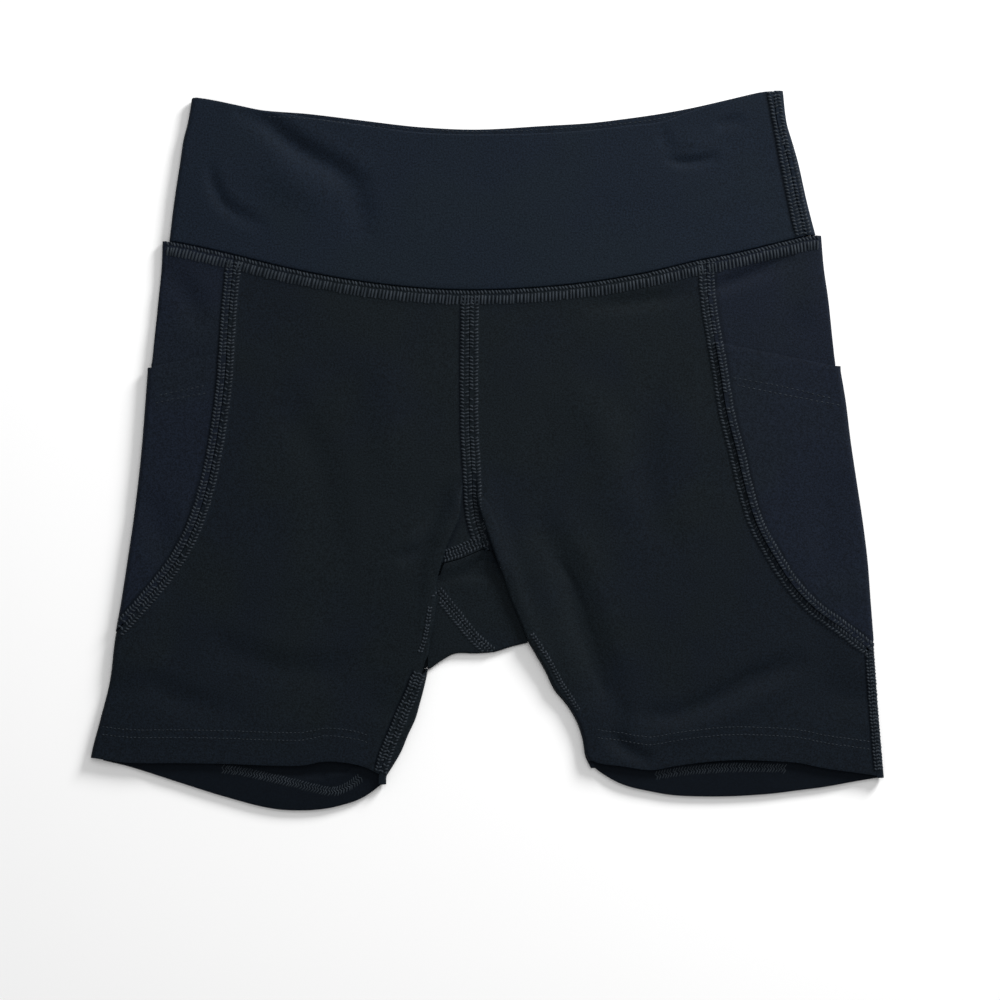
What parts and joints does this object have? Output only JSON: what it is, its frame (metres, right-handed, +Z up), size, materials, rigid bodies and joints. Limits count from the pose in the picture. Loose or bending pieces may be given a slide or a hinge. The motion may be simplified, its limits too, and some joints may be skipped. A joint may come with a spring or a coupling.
{
  "type": "cycling shorts",
  "caption": "High-waisted stretch cycling shorts laid flat, with a wide doubled waistband, curved side panels, side pockets, a crotch gusset and turned hems.",
  "frame": {"origin": "on the ground, under the middle of the laid-out garment's outline", "axes": "+Z up out of the garment's front, +Y towards the waist, +X to the right as seen from above"},
  "size_m": [0.4167, 0.3778, 0.0056],
  "materials": {
    "body_knit": "matt fine stretch knit, near black",
    "band_knit": "matt fine stretch knit, near black, doubled",
    "side_knit": "matt fine stretch knit, near black",
    "thread": "textured polyester thread, near black with a slight sheen"
  },
  "bodies": {
    "root": {"waistband_front": "band_knit", "waistband_back": "band_knit", "front_leg_left": "body_knit", "front_leg_right": "body_knit", "back_leg_left": "body_knit", "back_leg_right": "body_knit", "side_panel_left": "side_knit", "side_panel_right": "side_knit", "pocket_left": "side_knit", "pocket_right": "side_knit", "gusset": "body_knit"}
  },
  "joints": []
}
